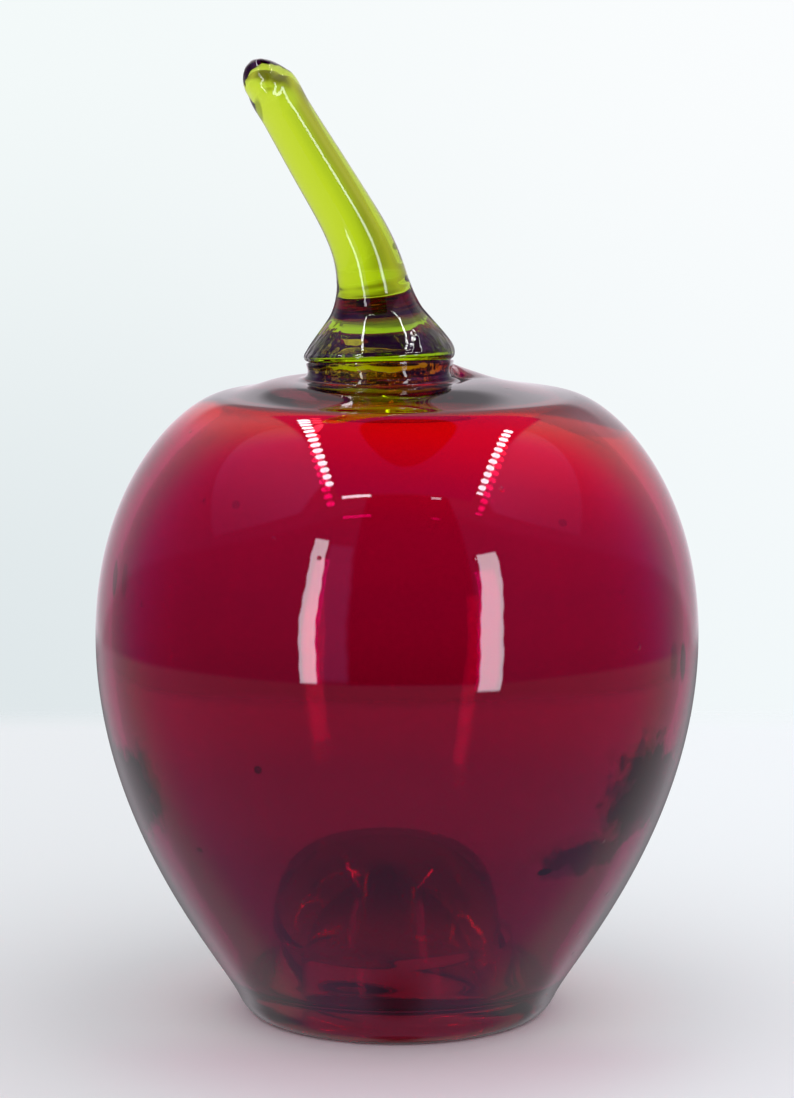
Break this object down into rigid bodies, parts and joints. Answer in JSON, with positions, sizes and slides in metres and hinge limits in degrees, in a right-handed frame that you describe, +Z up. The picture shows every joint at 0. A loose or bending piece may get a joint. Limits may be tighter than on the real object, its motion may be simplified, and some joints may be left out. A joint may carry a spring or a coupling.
{
  "type": "art glass apple",
  "caption": "Hollow blown ruby glass apple with a short neck and a curved solid green glass stem, standing on a flat ring.",
  "frame": {"origin": "middle of the flat rest ring, on the surface that the apple stands on", "axes": "+Z up from the rest ring through the neck, the stem leans towards -X, and the pictured front faces -Y"},
  "size_m": [0.127, 0.127, 0.201],
  "materials": {
    "ruby_glass": "fire polished, transparent ruby red, amber at the neck",
    "green_glass": "fire polished, transparent lime green"
  },
  "bodies": {
    "root": {"apple_body": "ruby_glass", "stem": "green_glass"}
  },
  "joints": []
}
